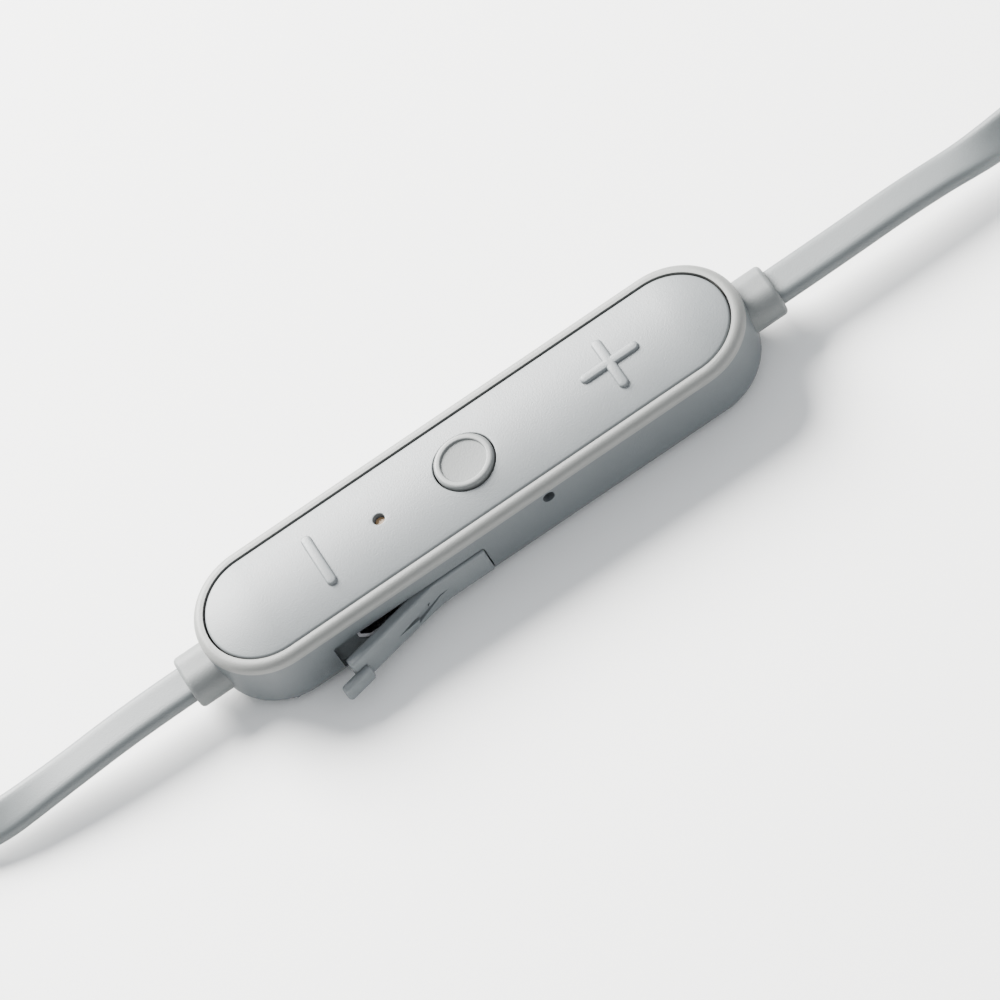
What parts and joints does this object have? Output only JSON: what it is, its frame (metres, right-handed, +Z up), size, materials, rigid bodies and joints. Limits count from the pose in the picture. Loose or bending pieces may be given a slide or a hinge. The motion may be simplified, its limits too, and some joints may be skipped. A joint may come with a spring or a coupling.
{
  "type": "neckband earphones",
  "caption": "In-ear earphones on a flat behind-the-neck cable, with an in-line remote: volume rocker, centre button, covered charging port, earbuds with soft tips.",
  "frame": {"origin": "centre of the remote's underside, on the surface it rests on", "axes": "+X along the remote towards the plus end, -Y the side with the charging port, +Z up through the buttons"},
  "size_m": [0.2279, 0.0299, 0.012],
  "materials": {
    "shell": "light grey soft-touch, fine texture",
    "frame": "light grey soft-touch, fine texture",
    "plate": "light grey satin, fine texture",
    "button": "light grey satin",
    "inner_plastic": "moulded",
    "circuit_board": "solder mask",
    "component": "matt",
    "dark_package": "moulded",
    "antenna": "matt",
    "light_guide": "clear, warm tinted",
    "led": "clear yellow phosphor",
    "metal_can": "pressed sheet",
    "dark_rubber": "moulded",
    "gold_contact": "gold plated",
    "battery_foil": "laminated foil",
    "foam": "adhesive foam",
    "lead_red": "wire insulation",
    "lead_black": "wire insulation",
    "cover_rubber": "light grey soft rubber",
    "sleeve": "light grey soft rubber",
    "cable": "light grey flat cable jacket",
    "tie": "dark grey strap",
    "magnet": "nickel plated",
    "diaphragm": "thin film",
    "metal_mesh": "woven mesh",
    "ear_tip_silicone": "translucent silicone"
  },
  "bodies": {
    "remote": {"battery_cell": "battery_foil", "battery_lead_black": "lead_black", "battery_lead_red": "lead_red", "battery_pad": "foam", "battery_pcm": "circuit_board", "bluetooth_chip": "dark_package", "bottom_shell": "shell", "button_carrier": "inner_plastic", "center_dome": "metal_can", "center_switch": "dark_package", "chip_antenna": "antenna", "hank_ties": "tie", "led_chip": "led", "left_cable_boot": "sleeve", "left_cord": "cable", "left_cord_tail": "cable", "left_cord_turned": "cable", "left_diaphragm": "diaphragm", "left_driver_frame": "inner_plastic", "left_driver_magnet": "magnet", "left_front_housing": "frame", "left_hank": "cable", "left_leads": "lead_red", "left_nozzle_mesh": "metal_mesh", "left_rear_housing": "shell", "left_sleeve": "sleeve", "main_pcb": "circuit_board", "mic_boot": "dark_rubber", "microphone": "metal_can", "minus_dome": "metal_can", "minus_switch": "dark_package", "plus_dome": "metal_can", "plus_switch": "dark_package", "port_cover_leaf": "cover_rubber", "right_cable_boot": "sleeve", "right_cord": "cable", "right_cord_turned": "cable", "right_diaphragm": "diaphragm", "right_driver_frame": "inner_plastic", "right_driver_magnet": "magnet", "right_front_housing": "frame", "right_leads": "lead_red", "right_nozzle_mesh": "metal_mesh", "right_rear_housing": "shell", "right_sleeve": "sleeve", "small_components": "component", "top_frame": "frame", "usb_contacts": "gold_contact", "usb_shell": "metal_can", "usb_tongue": "dark_package"},
    "rocker": {"rocker_plate": "plate", "light_pipe": "light_guide"},
    "center_button": {"center_button": "button"},
    "port_flap": {"port_cover_flap": "cover_rubber"},
    "left_tip": {"left_ear_tip": "ear_tip_silicone"},
    "right_tip": {"right_ear_tip": "ear_tip_silicone"}
  },
  "joints": [
    {"name": "volume_rocker", "type": "hinge", "parent": "remote", "child": "rocker", "pos_m": [0, 0, 0.00585], "axis": [0, 1, 0], "range_deg": [-0.95, 0.95], "stiffness_Nm_per_rad": 1.2, "deforming": ["plus_dome", "minus_dome"]},
    {"name": "center_press", "type": "slide", "parent": "remote", "child": "center_button", "axis": [0, 0, -1], "range_m": [0, 0.00028], "stiffness_N_per_m": 2500, "deforming": ["center_dome"]},
    {"name": "port_flap_hinge", "type": "hinge", "parent": "remote", "child": "port_flap", "pos_m": [-0.0087, -0.0066, 0.00308], "axis": [0, 0, 1], "range_deg": [-13, 75], "stiffness_Nm_per_rad": 0.0006},
    {"name": "left_tip_pull", "type": "slide", "parent": "remote", "child": "left_tip", "axis": [-0.9816, -0.1909, 0], "range_m": [0, 0.0044]},
    {"name": "right_tip_pull", "type": "slide", "parent": "remote", "child": "right_tip", "axis": [-1, 0.0086, 0], "range_m": [0, 0.0044]}
  ]
}
